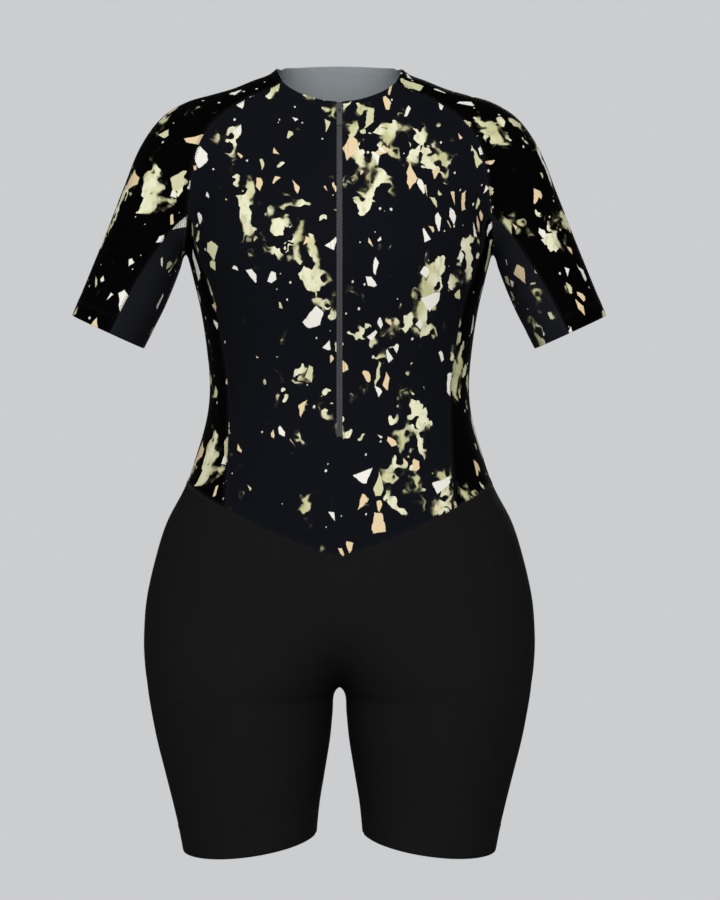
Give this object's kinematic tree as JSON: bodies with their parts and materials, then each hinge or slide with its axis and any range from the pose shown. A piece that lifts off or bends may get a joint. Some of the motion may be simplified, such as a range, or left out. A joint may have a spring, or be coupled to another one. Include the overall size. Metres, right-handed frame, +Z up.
{
  "type": "triathlon suit",
  "caption": "Short-sleeved one-piece triathlon suit with a front zip and mid-thigh legs, zipped up and filled out as worn.",
  "frame": {"origin": "middle of the neck opening, level with the neck ends of the shoulders, where the wearer's neck and shoulders hold the suit", "axes": "+Z up, the front faces -Y, +X to the right of a viewer in front of the suit"},
  "size_m": [0.5536, 0.2757, 0.8211],
  "materials": {
    "printed_body_knit": "smooth stretch knit, near black, printed with cream, peach and pale olive flecks",
    "black_knit": "smooth stretch knit, black, with the same printed flecks",
    "charcoal_mesh_knit": "fine perforated knit, charcoal",
    "shorts_knit": "matt compressive knit, black",
    "zip_tape_and_coil": "dark grey coil and woven tape",
    "zip_metal": "dark grey satin enamel"
  },
  "bodies": {
    "suit": {"front": "printed_body_knit", "back": "printed_body_knit", "shorts_front": "shorts_knit", "shorts_back": "shorts_knit", "side_right": "black_knit", "side_left": "black_knit", "sleeve_top_right": "black_knit", "sleeve_top_left": "black_knit", "sleeve_under_right": "charcoal_mesh_knit", "sleeve_under_left": "charcoal_mesh_knit", "zip_right": "zip_tape_and_coil", "zip_left": "zip_tape_and_coil", "zip_slider": "zip_metal"},
    "pull": {"zip_pull": "zip_metal"}
  },
  "joints": [
    {"name": "pull_swing", "type": "hinge", "parent": "suit", "child": "pull", "pos_m": [0, -0.07083, -0.0502], "axis": [-1, 0, 0], "range_deg": [0, 150]}
  ]
}
